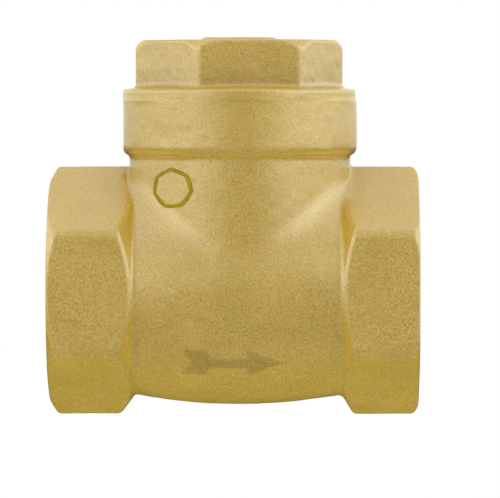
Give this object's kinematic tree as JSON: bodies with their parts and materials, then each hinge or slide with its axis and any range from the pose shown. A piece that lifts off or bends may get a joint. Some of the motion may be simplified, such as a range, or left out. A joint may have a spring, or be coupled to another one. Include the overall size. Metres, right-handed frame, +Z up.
{
  "type": "check valve",
  "caption": "Brass swing check valve with threaded hexagon ends, a screwed hexagon cap and a rubber-faced clapper hung on a hinge pin.",
  "frame": {"origin": "centre of the inlet end face, on the flow axis", "axes": "+X along the flow, from inlet to outlet; +Z up to the cap; Y along the hinge pin"},
  "size_m": [0.075, 0.0474, 0.0769],
  "materials": {
    "cast_brass": "sand-cast and shot-blasted: matt, fine-grained, with small changes of tone; machined bright in the bores and threads and on the end faces",
    "cast_brass_cap": "hot-stamped and shot-blasted, matt and fine-grained; thread and gasket face machined bright",
    "plug_brass": "dressed flush and blasted with the body",
    "sealant": "cured thread sealant, olive and slightly glossy",
    "pin_steel": "ground stainless rod",
    "gasket_fibre": "grey-green compressed fibre sheet, slightly mottled",
    "hanger_brass": "cast, blasted, with machined faces at ring and eye",
    "turned_brass": "turned, with fine circular tool marks",
    "seat_rubber": "moulded nitrile rubber, matt black",
    "screw_brass": "turned, slotted head",
    "nut_brass": "hexagon bar, turned faces",
    "cotter_brass": "drawn half-round wire"
  },
  "bodies": {
    "casing": {"valve_body": "cast_brass", "hinge_pin_plug": "plug_brass", "plug_sealant": "sealant"},
    "pin": {"hinge_pin": "pin_steel"},
    "hanger": {"disc_hanger": "hanger_brass"},
    "disc": {"disc_holder": "turned_brass", "seat_disc": "seat_rubber", "seat_disc_washer": "turned_brass", "seat_disc_screw": "screw_brass", "hanger_washer": "turned_brass", "hanger_nut": "nut_brass", "nut_cotter": "cotter_brass"},
    "gasket": {"bonnet_gasket": "gasket_fibre"},
    "cap": {"bonnet_cap": "cast_brass_cap"}
  },
  "joints": [
    {"name": "hinge_pin_turn", "type": "hinge", "parent": "casing", "child": "pin", "pos_m": [0.02531, 0, 0.02106], "axis": [0, 1, 0], "continuous": true},
    {"name": "disc_swing", "type": "hinge", "parent": "casing", "child": "hanger", "pos_m": [0.02531, 0, 0.02106], "axis": [0, -1, 0], "range_deg": [0, 65]},
    {"name": "disc_spin", "type": "hinge", "parent": "hanger", "child": "disc", "pos_m": [0.023, 0, 0], "axis": [0.9945, 0, 0.1045], "continuous": true},
    {"name": "cap_lift", "type": "slide", "parent": "casing", "child": "gasket", "axis": [0, 0, 1], "range_m": [0, 0.00675]},
    {"name": "cap_unscrew", "type": "hinge", "parent": "gasket", "child": "cap", "pos_m": [0.0385, 0, 0.0387], "axis": [0, 0, 1], "range_deg": [0, 1620]}
  ],
  "couplings": [
    {"joint": "cap_lift", "follows": "cap_unscrew", "m_per_rad": 0.00023873}
  ]
}
